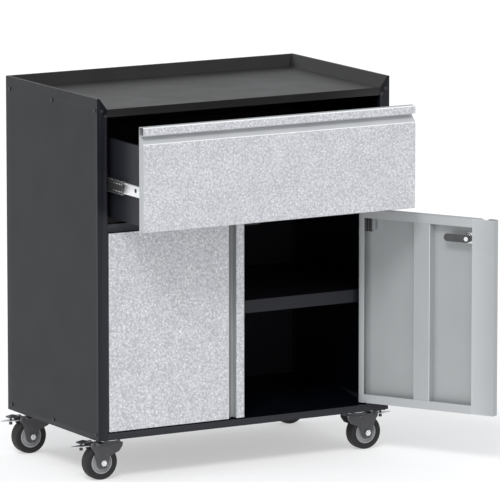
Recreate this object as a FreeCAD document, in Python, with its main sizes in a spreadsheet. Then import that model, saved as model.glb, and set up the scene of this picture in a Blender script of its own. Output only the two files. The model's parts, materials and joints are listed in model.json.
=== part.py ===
"""Rolling steel tool cabinet: one wide drawer, two doors, a shelf and four swivel casters.

All sizes are millimetres. X runs to the right, Y to the back and Z up. The origin lies on the floor under
the middle of the case. The doors and the drawer are drawn shut, and then placed open.
"""
import FreeCAD, Part
import os
import re

import Sketcher
from FreeCAD import Rotation, Vector

# ---------------------------------------------------------------------------------------------------------
# Driving sizes
# ---------------------------------------------------------------------------------------------------------

SIZES = {
    # case
    "width": 720,
    "depth": 415,
    "case_height": 736,
    "skin": 1,                # steel sheet
    "post_width": 24,         # front flange folded from each side panel
    "post_return": 12,
    "rear_flange": 18,
    "rim_height": 24,         # the rim stands this far above the worktop
    "rim_top": 6,             # level hem along the top of the rim
    "rim_run": 18,            # how far the sloping inside of the rim comes in
    "slope_skin": 1.25,       # that sloping sheet, measured level
    "rear_skirt": 41,
    "lip_height": 17,         # front edge of the worktop
    "rail_height": 17,        # middle rail between drawer and doors
    "base_rail_height": 15,
    "gap": 3,                 # round the doors and the drawer front
    # folded fronts
    "front_thickness": 19,
    "groove_wall": 3,         # from the bottom of a finger groove to the rear of the front
    "groove_slope": 14.5,
    "drawer_front_height": 223,
    "drawer_strip": 18,
    "drawer_groove": 18,
    "door_strip": 20,
    "door_groove": 20,
    "hem": 14,                # rear flange round a folded front
    "end_hem": 19,            # the same at the top and bottom of a door
    "band_margin": 14,        # flat band behind the groove, past the fold
    # doors
    "door_open": 120.5,       # angle of the right door as drawn
    "pivot_inset": 19,        # hinge axis from the hinge edge
    "pivot_pin": 6,
    "pivot_reach": 5,
    "pin_play": 0.2,          # hole over pin or shaft, on the diameter
    "pivot_block": 21,
    "pivot_block_height": 45,
    "pivot_foot_height": 8,   # of the lower block, which only holds its pin
    "stiffener_inset": 155,   # middle of the stiffener from the hinge edge
    "stiffener_top": 38,
    "stiffener_base": 46,
    # cam lock
    "lock_inset": 66.5,       # from the free edge of the right door
    "lock_drop": 44.5,        # from its top edge
    "lock_bore": 19,
    "lock_play": 0.4,
    "lock_head": 24,
    "lock_head_thickness": 2,
    "lock_nut": 27.55,        # across its corners
    "lock_nut_thickness": 4,
    "plug_bore": 12,
    "plug_proud": 0.5,        # plug beyond the barrel at both ends
    "key_slot_width": 1.6,
    "key_slot_height": 8,
    "key_slot_depth": 8,
    "cam_reach": 55,
    "cam_width": 17,
    "cam_thickness": 2.5,
    "cam_screw": 10,
    "cam_screw_height": 2.5,
    # drawer
    "drawer_out": 153,        # how far the drawer is drawn out
    "tub_height": 170,
    "tub_lift": 8.5,          # tub above the lower edge of its front
    "tub_hem": 8,
    "rear_room": 46,          # behind the shut drawer
    "slide_lift": 81.5,       # middle of the slides above the lower edge of the front
    "slide_thickness": 12.7,
    "slide_height": 35,
    "slide_sheet": 1.2,
    "slide_clearance": 3.3,   # between the slides and the post
    "bracket_margin": 3.5,    # bracket above and below its slide
    "bracket_short": 10,      # bracket shorter than the slide, at the rear
    "slide_hole": 6,
    "slide_hole_start": 35,
    "slide_hole_pitch": 95,
    # shelf
    "shelf_height": 266,      # top of the shelf above the underside of the case
    "shelf_clearance": 3,     # behind the corner of a door as it swings
    "shelf_lip": 28,
    "clip_width": 20,
    "clip_reach": 14,
    "clip_height": 18,
    "clip_sheet": 2,
    "front_clip_setback": 40,
    "rear_clip_setback": 50,
    # magnet catches
    "catch_inset": 10,        # from the free edge of the door
    "catch_width": 36,
    "catch_depth": 12.5,
    "catch_height": 16,
    "catch_gap": 0.5,
    # fasteners
    "screw_head": 8,
    "screw_head_height": 1.6,
    "screw_grip": 1.5,        # shank behind the sheet
    "screw_shank": 4,
    "screw_play": 0.4,
    # casters
    "wheel_diameter": 76,
    "wheel_width": 26,
    "wheel_room": 1.5,        # over the tyre and on each side of it
    "hub_diameter": 50,
    "axle_diameter": 8,
    "trail": 22,              # from the swivel axis to the axle
    "swivel_inset": 53,       # from the side of the case
    "front_setback": 54.5,
    "rear_setback": 36.5,
    "plate_length": 70,
    "plate_width": 58,
    "plate_thickness": 3,
    "bolt_length_pitch": 56,
    "bolt_width_pitch": 44,
    "bolt_diameter": 6,
    "bolt_play": 0.5,
    "bolt_corners": 11.5,     # head and nut, across their corners
    "bolt_head_height": 4,
    "bolt_nut_height": 5,
    "bolt_rise": 8,           # shank above the underside of the case
    "fork_sheet": 2.2,
    "crown_diameter": 54,
    "race_height": 11.3,      # ball race, from the crown to the plate
    "race_step": 2,
    "kingpin": 12,
    "kingpin_head": 17,
    "kingpin_head_height": 2.2,
    "fork_boss": 28,
    "axle_corners": 14,       # head and nut of the axle, across their corners
    "axle_nut_height": 6,
    "axle_end": 8,            # axle beyond the fork on each side
    "rail_width": 72,         # channel that carries the caster plates
    "rail_sheet": 1.5,
    "pedal_reach": 70,        # tip of the pedal from the axle
    "pedal_width": 22,
    "pedal_setback": 20,      # pivot of the pedal from the axle
    "pedal_pin": 5,
    "pedal_barrel": 9,
    "pedal_knob": 7.5,
    "stem_reach": 24,         # push stem from the pivot
    "brake_plate_sheet": 1.6,
    "running_gap": 0.3,       # between parts that turn on each other
}

# Places worked out from the driving sizes.
PLACES = {
    "crown_bottom": "wheel_diameter + wheel_room",
    "crown_top": "crown_bottom + fork_sheet",
    "plate_bottom": "crown_top + race_height",
    "floor_gap": "plate_bottom + plate_thickness",
    "race_split": "(crown_top + plate_bottom) / 2",
    "half_width": "width / 2",
    "front": "-depth / 2",
    "back": "depth / 2",
    "inner_half": "half_width - skin",
    "post_edge": "half_width - post_width",
    "case_top": "floor_gap + case_height",
    "worktop_top": "case_top - rim_height",
    "rim_inner": "post_edge + rim_run",
    "rear_fold": "back - rim_top - rim_run",
    "drawer_top": "worktop_top - lip_height - gap",
    "drawer_bottom": "drawer_top - drawer_front_height",
    "rail_top": "drawer_bottom - gap",
    "rail_bottom": "rail_top - rail_height",
    "door_top": "rail_bottom - gap",
    "floor_top": "floor_gap + base_rail_height",
    "door_bottom": "floor_top + gap",
    "front_rear": "front + front_thickness",
    "groove_depth": "front_thickness - groove_wall",
    "hinge_edge": "post_edge - gap",
    "free_edge": "gap / 2",
    "door_width": "hinge_edge - free_edge",
    "pivot_across": "hinge_edge - pivot_inset",
    "pivot_back": "front + front_thickness / 2",
    "drawer_half": "post_edge - gap",
    "slide_face": "post_edge - slide_clearance",
    "tub_half": "slide_face - slide_thickness",
    "tub_bottom": "drawer_bottom + tub_lift",
    "tub_top": "tub_bottom + tub_height",
    "slide_length": "depth - front_thickness - rear_room",
    "slide_start": "front_rear + 2 * skin",
    "slide_middle_height": "drawer_bottom + slide_lift",
    "bracket_half": "slide_height / 2 + bracket_margin",
    "shelf_top": "floor_gap + shelf_height",
    "door_swing": "sqrt(pivot_inset * pivot_inset + front_thickness * front_thickness / 4)",
    "shelf_front": "pivot_back + door_swing + shelf_clearance",
    "lock_across": "free_edge + lock_inset",
    "lock_up": "door_top - lock_drop",
    "swivel_across": "half_width - swivel_inset",
    "axle_up": "wheel_diameter / 2",
    "leg_inner": "wheel_width / 2 + wheel_room",
    "leg_outer": "leg_inner + fork_sheet",
    "pedal_across": "trail + pedal_setback",
    "pedal_up": "crown_top - 0.5",
    "pedal_tip": "trail + pedal_reach",
}

LEFT = -1
RIGHT = 1
WORD = re.compile(r"[a-z_]+")

doc = FreeCAD.newDocument("tool_cabinet")
sheet = doc.addObject("Spreadsheet::Sheet", "Sizes")
for row, (size_name, size) in enumerate(SIZES.items(), start=1):
    sheet.set(f"A{row}", size_name)
    sheet.set(f"B{row}", str(size))
    sheet.setAlias(f"B{row}", size_name)
doc.recompute()


# ---------------------------------------------------------------------------------------------------------
# Helpers
# ---------------------------------------------------------------------------------------------------------

def formula(text):
    """A formula of plain names, spelt out in cells of the sheet."""
    def spell(match):
        word = match.group()
        if word in PLACES:
            return f"({formula(PLACES[word])})"
        return f"Sizes.{word}" if word in SIZES else word
    return WORD.sub(spell, str(text))


def value(text):
    return float(sheet.evalExpression(formula(text)))


def bind(thing, prop, text):
    thing.setExpression(prop, formula(text))


def on_side(side, near, far):
    """The span between two distances from the middle, on the left or the right."""
    return (near, far) if side == RIGHT else (f"-({far})", f"-({near})")


def across(half):
    return f"-({half})", half


def box(name, x, y, z):
    """A block between two formulas along each axis."""
    block = doc.addObject("Part::Box", name)
    for size_prop, axis, (low, high) in zip(("Length", "Width", "Height"), "xyz", (x, y, z)):
        bind(block, size_prop, f"({high}) - ({low})")
        bind(block, f"Placement.Base.{axis}", low)
    return block


def lay_along(thing, length_prop, x, y, z):
    """Run a round or prismatic thing along the one axis that is given as a span."""
    turns = {"x": Rotation(Vector(0, 1, 0), 90), "y": Rotation(Vector(1, 0, 0), -90), "z": Rotation()}
    for axis, where in zip("xyz", (x, y, z)):
        start = where
        if isinstance(where, tuple):
            start, end = where
            thing.Placement = FreeCAD.Placement(Vector(), turns[axis])
            bind(thing, length_prop, f"({end}) - ({start})")
    for axis, where in zip("xyz", (x, y, z)):
        bind(thing, f"Placement.Base.{axis}", where[0] if isinstance(where, tuple) else where)
    return thing


def rod(name, diameter, x, y, z):
    bar = doc.addObject("Part::Cylinder", name)
    bind(bar, "Radius", f"({diameter}) / 2")
    return lay_along(bar, "Height", x, y, z)


def hexagon(name, across_corners, x, y, z):
    prism = doc.addObject("Part::Prism", name)
    prism.Polygon = 6
    bind(prism, "Circumradius", f"({across_corners}) / 2")
    return lay_along(prism, "Height", x, y, z)


def join(name, *pieces):
    fuse = doc.addObject("Part::MultiFuse", name)
    fuse.Shapes = list(pieces)
    fuse.Refine = True
    return fuse


def group(name, pieces):
    """Separate solids kept together in one node."""
    compound = doc.addObject("Part::Compound", name)
    compound.Links = list(pieces)
    return compound


def cut(name, base, *tools):
    hollow = doc.addObject("Part::Cut", name)
    hollow.Base = base
    hollow.Tool = tools[0] if len(tools) == 1 else group(f"{name}_cuts", tools)
    hollow.Refine = True
    return hollow


def profile(body, plane, corners):
    """A closed outline whose every corner is held by two formulas."""
    sketch = body.newObject("Sketcher::SketchObject", f"{body.Name}_profile")
    support = next(feature for feature in body.Origin.OriginFeatures if feature.Role == plane)
    sketch.AttachmentSupport = [(support, "")]
    sketch.MapMode = "FlatFace"
    points = [Vector(value(first), value(second), 0) for first, second in corners]
    for start, end in zip(points, points[1:] + points[:1]):
        sketch.addGeometry(Part.LineSegment(start, end), False)
    for index in range(len(points)):
        following = (index + 1) % len(points)
        sketch.addConstraint(Sketcher.Constraint("Coincident", index, 2, following, 1))
    for index, pair in enumerate(corners):
        for kind, text in zip(("DistanceX", "DistanceY"), pair):
            held = sketch.addConstraint(Sketcher.Constraint(kind, -1, 1, index, 1, value(text)))
            bind(sketch, f"Constraints[{held}]", text)
    return sketch


def extrusion(name, along, corners, span):
    """A profile drawn across one axis and padded along it."""
    plane = {"x": "YZ_Plane", "y": "XZ_Plane", "z": "XY_Plane"}[along]
    low, high = span
    body = doc.addObject("PartDesign::Body", name)
    sketch = profile(body, plane, corners)
    # The XZ plane faces -Y, so a pad on it runs back from the high end.
    bind(sketch, "AttachmentOffset.Base.z", f"-({high})" if along == "y" else low)
    pad = body.newObject("PartDesign::Pad", f"{name}_pad")
    pad.Profile = sketch
    bind(pad, "Length", f"({high}) - ({low})")
    body.Tip = pad
    return body


def turning(name, corners):
    """A profile of radius and distance, turned about Y."""
    body = doc.addObject("PartDesign::Body", name)
    sketch = profile(body, "XY_Plane", corners)
    turned = body.newObject("PartDesign::Revolution", f"{name}_turned")
    turned.Profile = sketch
    turned.ReferenceAxis = (sketch, ["V_Axis"])
    turned.Angle = 360
    body.Tip = turned
    return body


nodes = []


def keep(thing, label):
    """Name a finished sub-part."""
    thing.Label = label
    nodes.append(thing)
    return thing


def draw_out(thing, share):
    """Place a drawer piece where the open drawer has carried it."""
    bind(thing, "Placement.Base.y", f"-{share} * drawer_out")
    return thing


def swing_open(thing):
    """Turn a piece of the right door about its hinge axis."""
    turn = "(door_open * 1deg)"
    # Only alias words are spelt out, so sin, cos and deg stay as they are.
    bind(thing, "Placement.Rotation.Angle", "door_open * 1deg")
    bind(thing, "Placement.Base.x", f"pivot_across * (1 - cos{turn}) + pivot_back * sin{turn}")
    bind(thing, "Placement.Base.y", f"pivot_back * (1 - cos{turn}) - pivot_across * sin{turn}")
    return thing


# ---------------------------------------------------------------------------------------------------------
# Case
# ---------------------------------------------------------------------------------------------------------

SCREW_ROWS = ("worktop_top - 2.5", "floor_gap + 13")
SCREW_COLUMNS = ("front + 9.5", "-4", "back - 18.5")
POST_SCREWS = (("half_width - 10.5", "worktop_top - 3"), ("post_edge + 3.5", "worktop_top - 14.5"))
SCREW_HOLE = "screw_shank + screw_play"


def mirrored(side, corners):
    return [(f"{side} * ({first})", second) for first, second in corners]


def side_panel(side, name):
    """One sheet folded into the side, the front post and the rear flange."""
    fold = extrusion(f"{name}_fold", "z", mirrored(side, [
        ("half_width", "front"), ("half_width", "back"),
        ("half_width - rear_flange", "back"), ("half_width - rear_flange", "back - skin"),
        ("inner_half", "back - skin"), ("inner_half", "front + skin"),
        ("post_edge + skin", "front + skin"), ("post_edge + skin", "front + post_return"),
        ("post_edge", "front + post_return"), ("post_edge", "front"),
    ]), ("floor_gap", "case_top - skin"))
    # The post is cut along the slope of the rim, and the rear flange stops under the rear skirt.
    slope = extrusion(f"{name}_slope", "y", mirrored(side, [
        ("post_edge - skin", "worktop_top - skin"), ("post_edge + slope_skin", "worktop_top - skin"),
        ("rim_inner + slope_skin", "case_top - skin"), ("rim_inner + slope_skin", "case_top + skin"),
        ("post_edge - skin", "case_top + skin"),
    ]), ("front - skin", "front + post_return + skin"))
    skirt_room = box(f"{name}_skirt_room", on_side(side, "half_width - rear_flange - skin", "inner_half"),
                     ("back - skin", "back + skin"), ("case_top - rear_skirt", "case_top"))
    holes = []
    for up in SCREW_ROWS:
        for along in SCREW_COLUMNS:
            wall = on_side(side, "inner_half - skin", "half_width + skin")
            holes.append(rod(f"{name}_hole", SCREW_HOLE, wall, along, up))
    for sideways, up in POST_SCREWS:
        wall = ("front - skin", "front + 2 * skin")
        holes.append(rod(f"{name}_post_hole", SCREW_HOLE, f"{side} * ({sideways})", wall, up))
    return keep(cut(name, fold, slope, skirt_room, *holes), name)


def worktop():
    """The top tray, with its front lip, sloping rim on three sides, top hem and rear skirt."""
    whole = across("post_edge")
    parts = [
        box("tray", whole, ("front", "rear_fold"), ("worktop_top - skin", "worktop_top")),
        box("lip", whole, ("front", "front + skin"), ("worktop_top - lip_height", "worktop_top")),
        box("lip_return", whole, ("front", "front + post_return"),
            ("worktop_top - lip_height", "worktop_top - lip_height + skin")),
        extrusion("rear_rim", "x", [
            ("rear_fold", "worktop_top - skin"), ("rear_fold", "worktop_top"),
            ("rear_fold + rim_run", "case_top"), ("back", "case_top"),
            ("back", "case_top - rear_skirt"), ("back - skin", "case_top - rear_skirt"),
            ("back - skin", "case_top - skin"), ("rear_fold + rim_run + slope_skin", "case_top - skin"),
            ("rear_fold + slope_skin", "worktop_top - skin"),
        ], across("inner_half")),
    ]
    for side, name in ((LEFT, "left_rim"), (RIGHT, "right_rim")):
        parts.append(extrusion(name, "y", mirrored(side, [
            ("post_edge", "worktop_top - skin"), ("post_edge", "worktop_top"),
            ("rim_inner", "case_top"), ("half_width", "case_top"), ("half_width", "case_top - skin"),
            ("rim_inner + slope_skin", "case_top - skin"), ("post_edge + slope_skin", "worktop_top - skin"),
        ]), ("front", "back")))
    return keep(join("worktop", *parts), "worktop")


def middle_rail():
    channel = extrusion("rail_channel", "x", [
        ("front", "rail_bottom"), ("front", "rail_top"), ("front_rear", "rail_top"),
        ("front_rear", "rail_top - skin"), ("front + skin", "rail_top - skin"),
        ("front + skin", "rail_bottom + skin"), ("front_rear", "rail_bottom + skin"),
        ("front_rear", "rail_bottom"),
    ], across("post_edge"))
    holes = [rod("rail_pivot_hole", "pivot_pin + pin_play", f"{side} * pivot_across", "pivot_back",
                 ("rail_bottom - skin", "rail_bottom + 2 * skin")) for side in (LEFT, RIGHT)]
    return keep(cut("middle_rail", channel, *holes), "middle_rail")


def bottom_panel():
    """The cupboard floor with the front rail folded down from it."""
    pan = join(
        "pan",
        box("floor_front", across("post_edge"), ("front", "front + post_return + skin"),
            ("floor_top - skin", "floor_top")),
        box("floor_main", across("inner_half"), ("front + post_return", "back - 2 * skin"),
            ("floor_top - skin", "floor_top")),
        box("base_rail", across("post_edge"), ("front", "front + skin"), ("floor_gap", "floor_top")),
        box("base_return", across("post_edge"), ("front", "front + post_return"),
            ("floor_gap", "floor_gap + skin")),
        box("floor_left", on_side(LEFT, "inner_half - skin", "inner_half"),
            ("front + post_return", "back - 2 * skin"), ("floor_gap", "floor_top")),
        box("floor_right", on_side(RIGHT, "inner_half - skin", "inner_half"),
            ("front + post_return", "back - 2 * skin"), ("floor_gap", "floor_top")),
    )
    holes = [rod("floor_pivot_hole", "pivot_pin + pin_play", f"{side} * pivot_across", "pivot_back",
                 ("floor_top - 2 * skin", "floor_top + skin")) for side in (LEFT, RIGHT)]
    for side in (LEFT, RIGHT):
        for along in SCREW_COLUMNS[1:]:
            wall = on_side(side, "inner_half - 2 * skin", "inner_half + skin")
            holes.append(rod("floor_screw_hole", SCREW_HOLE, wall, along, SCREW_ROWS[1]))
    return keep(cut("bottom_panel", pan, *holes), "bottom_panel")


def back_panel():
    sheet_back = box("back_panel", across("inner_half - 0.5"), ("back - 2 * skin", "back - skin"),
                     ("floor_gap + skin", "worktop_top - skin"))
    return keep(sheet_back, "back_panel")


def shelf():
    whole = across("inner_half - 1.5 * skin")
    top = box("shelf_sheet", whole, ("shelf_front", "back - 3 * skin"),
              ("shelf_top - skin", "shelf_top"))
    lips = [box("shelf_lip_sheet", whole, where, ("shelf_top - shelf_lip", "shelf_top"))
            for where in (("shelf_front", "shelf_front + skin"), ("back - 4 * skin", "back - 3 * skin"))]
    hem_strip = box("shelf_lip_return", whole, ("shelf_front", "shelf_front + post_return"),
                    ("shelf_top - shelf_lip", "shelf_top - shelf_lip + skin"))
    return keep(join("shelf", top, *lips, hem_strip), "shelf")


def shelf_clips():
    clips = []
    under = "shelf_top - skin"
    for side in (LEFT, RIGHT):
        for middle in ("shelf_front + front_clip_setback", "back - rear_clip_setback"):
            where = (f"{middle} - clip_width / 2", f"{middle} + clip_width / 2")
            arm = box("clip_arm", on_side(side, "inner_half - clip_reach", "inner_half"), where,
                      (f"{under} - clip_sheet", under))
            leg = box("clip_leg", on_side(side, "inner_half - clip_sheet", "inner_half"), where,
                      (f"{under} - clip_height", under))
            clips.append(join("shelf_clip", arm, leg))
    return keep(group("shelf_clips", clips), "shelf_clips")


def panel_screws():
    """Pan-head screws through the sides and the posts, each a shank and a head along one axis."""
    screws = []
    for side in (LEFT, RIGHT):
        for up in SCREW_ROWS:
            for along in SCREW_COLUMNS:
                shank = on_side(side, "inner_half - screw_grip", "half_width + skin")
                head = on_side(side, "half_width", "half_width + screw_head_height")
                screws.append(join("side_screw", rod("side_screw_shank", "screw_shank", shank, along, up),
                                   rod("side_screw_head", "screw_head", head, along, up)))
        for sideways, up in POST_SCREWS:
            across_post = f"{side} * ({sideways})"
            shank = ("front - skin", "front + skin + screw_grip")
            head = ("front - screw_head_height", "front")
            screws.append(join("post_screw", rod("post_screw_shank", "screw_shank", across_post, shank, up),
                               rod("post_screw_head", "screw_head", across_post, head, up)))
    return keep(group("panel_screws", screws), "panel_screws")


def magnet_catches():
    """Two catches hung from the middle rail, which hold the flat band of each shut door."""
    catches = []
    for side in (LEFT, RIGHT):
        where = on_side(side, "free_edge + catch_inset", "free_edge + catch_inset + catch_width")
        rear = "front_rear + catch_gap + catch_depth"
        tongue = box("catch_tongue", where, ("front + skin", rear), ("rail_bottom - skin", "rail_bottom"))
        magnet = box("catch_magnet", where, ("front_rear + catch_gap", rear),
                     ("rail_bottom - catch_height", "rail_bottom"))
        catches.append(join("catch", tongue, magnet))
    return keep(group("magnet_catches", catches), "magnet_catches")


# ---------------------------------------------------------------------------------------------------------
# Folded fronts: a finger strip, a groove with one sloping wall, and a pan open at the back
# ---------------------------------------------------------------------------------------------------------

def folded_front(name, along, from_edge, strip, groove, reach, span, end_margin):
    """from_edge turns a distance from the finger edge into a place, and reach is the whole width."""
    def corner(distance, depth):
        place = from_edge(distance)
        return (depth, place) if along == "x" else (place, depth)

    def ordered(near, far):
        low, high = from_edge(near), from_edge(far)
        return (low, high) if value(low) < value(high) else (high, low)

    def block(label, distances, depths, ends):
        sides = (ends, depths, distances) if along == "x" else (distances, depths, ends)
        return box(label, *sides)

    low, high = span
    fold = f"{strip} + {groove}"
    outer = extrusion(f"{name}_fold", along, [
        corner("0", "front"), corner(strip, "front"), corner(strip, "front + groove_depth"),
        corner(f"{fold} - groove_slope", "front + groove_depth"), corner(fold, "front"),
        corner(reach, "front"), corner(reach, "front_rear"), corner("0", "front_rear"),
    ], span)
    hollow = extrusion(f"{name}_hollow", along, [
        corner(f"{fold} + skin / 2", "front + skin"), corner(f"{reach} - skin", "front + skin"),
        corner(f"{reach} - skin", "front_rear - skin"),
        corner(f"{fold} - groove_slope + 2 * skin", "front_rear - skin"),
        corner(f"{fold} - groove_slope + 2 * skin", "front + groove_depth"),
    ], (f"{low} + skin", f"{high} - skin"))
    tube = block(f"{name}_strip_tube", ordered("skin", f"{strip} - skin"),
                 ("front + skin", "front_rear - skin"), (f"{low} - skin", f"{high} + skin"))
    window = block(f"{name}_window", ordered(f"{fold} + band_margin", f"{reach} - hem"),
                   ("front_rear - 2 * skin", "front_rear + skin"),
                   (f"{low} + {end_margin}", f"{high} - {end_margin}"))
    return outer, [hollow, tube, window]


# ---------------------------------------------------------------------------------------------------------
# Drawer and its slides
# ---------------------------------------------------------------------------------------------------------

def drawer_front():
    outer, hollows = folded_front("drawer_front", "x", lambda distance: f"drawer_top - ({distance})",
                                  "drawer_strip", "drawer_groove", "drawer_front_height",
                                  across("drawer_half"), "hem")
    return keep(draw_out(cut("drawer_front", outer, *hollows), 1), "drawer_front")


def drawer_tub():
    near = "front_rear"
    far = "front_rear + slide_length"
    height = ("tub_bottom", "tub_top")
    parts = [
        box("tub_floor", across("tub_half"), (near, far), ("tub_bottom", "tub_bottom + skin")),
        box("tub_front", across("tub_half"), (near, f"{near} + skin"), height),
        box("tub_back", across("tub_half"), (f"{far} - skin", far), height),
        box("tub_back_hem", across("tub_half"), (f"{far} - tub_hem", far), ("tub_top - skin", "tub_top")),
    ]
    for side in (LEFT, RIGHT):
        wall = on_side(side, "tub_half - skin", "tub_half")
        parts.append(box("tub_side", wall, (near, far), height))
        parts.append(box("tub_hem_strip", on_side(side, "tub_half - tub_hem", "tub_half"), (near, far),
                         ("tub_top - skin", "tub_top")))
    return keep(draw_out(join("drawer_tub", *parts), 1), "drawer_tub")


def channel(name, side, web, flange_end, half_height, start):
    """A slide member: a web at one distance from the middle and two flanges reaching to another."""
    near, far = web, f"{web} + slide_sheet"
    flange = (far, flange_end) if value(flange_end) > value(web) else (flange_end, near)
    ends = (start, f"{start} + slide_length")
    low, high = f"slide_middle_height - {half_height}", f"slide_middle_height + {half_height}"
    return join(
        name,
        box(f"{name}_web", on_side(side, near, far), ends, (low, high)),
        box(f"{name}_low", on_side(side, *flange), ends, (low, f"{low} + slide_sheet")),
        box(f"{name}_high", on_side(side, *flange), ends, (f"{high} - slide_sheet", high)),
    )


def slides(side, prefix):
    outer = channel(f"{prefix}_outer", side, "slide_face - slide_sheet", "tub_half + 3.5",
                    "slide_height / 2", "slide_start")
    middle = channel(f"{prefix}_middle", side, "slide_face - 2 * slide_sheet - 1", "tub_half + 2.5",
                     "(slide_height / 2 - slide_sheet - 1.8)", "slide_start")
    inner = channel(f"{prefix}_inner_channel", side, "tub_half", "slide_face - 2 * slide_sheet - 2.6",
                    "(slide_height / 2 - 2 * slide_sheet - 4)", "slide_start")
    web = on_side(side, "tub_half - skin", "tub_half + 2 * slide_sheet")
    holes = [rod(f"{prefix}_hole", "slide_hole", web,
                 f"slide_start + slide_hole_start + {turn} * slide_hole_pitch", "slide_middle_height")
             for turn in range(3)]
    inner = cut(f"{prefix}_inner", inner, *holes)
    ends = ("slide_start + 2 * skin", "slide_start + slide_length - bracket_short")
    low, high = "slide_middle_height - bracket_half", "slide_middle_height + bracket_half"
    arm = on_side(side, "slide_face", "inner_half")
    bracket = join(
        f"{prefix}_bracket",
        box(f"{prefix}_bracket_web", on_side(side, "slide_face", "slide_face + rail_sheet"), ends,
            (low, high)),
        box(f"{prefix}_bracket_low", arm, ends, (low, f"{low} + rail_sheet")),
        box(f"{prefix}_bracket_high", arm, ends, (f"{high} - rail_sheet", high)),
    )
    keep(outer, f"{prefix}_outer")
    keep(draw_out(middle, 0.5), f"{prefix}_middle")
    keep(draw_out(inner, 1), f"{prefix}_inner")
    keep(bracket, f"{prefix}_bracket")


# ---------------------------------------------------------------------------------------------------------
# Doors
# ---------------------------------------------------------------------------------------------------------

def door(side, prefix, place):
    """The pan, its hat-shaped stiffener and the pivot blocks with their pins."""
    pan, hollows = folded_front(f"{prefix}_panel", "z", lambda distance: f"{side} * (free_edge + {distance})",
                                "door_strip", "door_groove", "door_width",
                                ("door_bottom", "door_top"), "end_hem")
    pin_hole = "pivot_pin + pin_play"
    hollows.append(rod(f"{prefix}_pin_hole", pin_hole, f"{side} * pivot_across", "pivot_back",
                       ("door_bottom - skin", "door_top + skin")))
    if side == RIGHT:
        hollows.append(rod("lock_hole", "lock_bore + lock_play", "lock_across",
                           ("front - skin", "front + 2 * skin"), "lock_up"))
    keep(place(cut(f"{prefix}_panel", pan, *hollows)), f"{prefix}_panel")

    middle = "hinge_edge - stiffener_inset"
    foot, crest = "stiffener_base / 2", "stiffener_top / 2"
    hat = extrusion(f"{prefix}_stiffener", "z", mirrored(side, [
        (f"{middle} - {foot}", "front + skin"), (f"{middle} - {crest}", "front_rear - skin"),
        (f"{middle} + {crest}", "front_rear - skin"), (f"{middle} + {foot}", "front + skin"),
        (f"{middle} + {foot} - slope_skin", "front + skin"),
        (f"{middle} + {crest} - slope_skin", "front_rear - 2 * skin"),
        (f"{middle} - {crest} + slope_skin", "front_rear - 2 * skin"),
        (f"{middle} - {foot} + slope_skin", "front + skin"),
    ]), ("door_bottom + skin", "door_top - skin"))
    keep(place(hat), f"{prefix}_stiffener")

    pivots = []
    block_sides = on_side(side, "hinge_edge - hem - pivot_block + skin", "hinge_edge - hem + skin")
    block_depth = ("front + 3 * skin", "front_rear - 3 * skin")
    for end, block_up, pin_up in (
            ("top", ("door_top - skin - pivot_block_height", "door_top - skin"),
             ("door_top - 2 * skin", "rail_bottom + pivot_reach")),
            ("bottom", ("door_bottom + skin", "door_bottom + skin + pivot_foot_height"),
             ("floor_top - pivot_reach", "door_bottom + 2 * skin"))):
        block = box(f"{prefix}_{end}_block", block_sides, block_depth, block_up)
        pin = rod(f"{prefix}_{end}_pin", "pivot_pin", f"{side} * pivot_across", "pivot_back", pin_up)
        pivots.append(join(f"{prefix}_{end}_pivot", block, pin))
    keep(place(group(f"{prefix}_pivots", pivots)), f"{prefix}_pivots")


def lock():
    """Barrel and nut in the door, and the plug that turns the cam."""
    spot = {"x": "lock_across", "z": "lock_up"}
    head_face = "front - lock_head_thickness"
    cam_front = "front_rear + plug_proud"
    head = rod("lock_head_disc", "lock_head", y=(head_face, "front"), **spot)
    barrel = rod("lock_barrel_body", "lock_bore", y=("front - skin", "front_rear - skin"), **spot)
    nut = hexagon("lock_nut_body", "lock_nut", y=("front + skin", "front + skin + lock_nut_thickness"),
                  **spot)
    bore = rod("lock_plug_bore", "plug_bore + pin_play", y=(f"{head_face} - skin", "front_rear + skin"),
               **spot)
    keep(swing_open(cut("lock_barrel", join("lock_body", head, barrel, nut), bore)), "lock_barrel")

    plug_face = f"{head_face} - plug_proud"
    plug = rod("plug_body", "plug_bore", y=(plug_face, cam_front), **spot)
    slot = box("key_slot", ("lock_across - key_slot_width / 2", "lock_across + key_slot_width / 2"),
               (f"{plug_face} - skin", "front + key_slot_depth"),
               ("lock_up - key_slot_height / 2", "lock_up + key_slot_height / 2"))
    keep(swing_open(cut("lock_plug", plug, slot)), "lock_plug")

    cam_face = (cam_front, f"{cam_front} + cam_thickness")
    arm_end = "lock_across + cam_reach - cam_width / 2"
    arm = box("cam_arm", ("lock_across", arm_end), cam_face,
              ("lock_up - cam_width / 2", "lock_up + cam_width / 2"))
    eye = rod("cam_eye", "cam_width", "lock_across", cam_face, "lock_up")
    tip = rod("cam_tip", "cam_width", arm_end, cam_face, "lock_up")
    screw = rod("cam_screw_head", "cam_screw",
                y=(cam_front, f"{cam_front} + cam_thickness + cam_screw_height"), **spot)
    keep(swing_open(join("lock_cam", arm, eye, tip, screw)), "lock_cam")


# ---------------------------------------------------------------------------------------------------------
# Casters, drawn about their swivel axis with the wheel trailing towards +X
# ---------------------------------------------------------------------------------------------------------

CASTERS = (
    ("front_left", LEFT, "front + front_setback"),
    ("front_right", RIGHT, "front + front_setback"),
    ("rear_left", LEFT, "back - rear_setback"),
    ("rear_right", RIGHT, "back - rear_setback"),
)
BOLT_SPOTS = [(f"{along} * bolt_length_pitch / 2", f"{sideways} * bolt_width_pitch / 2")
              for along in (-1, 1) for sideways in (-1, 1)]


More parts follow.
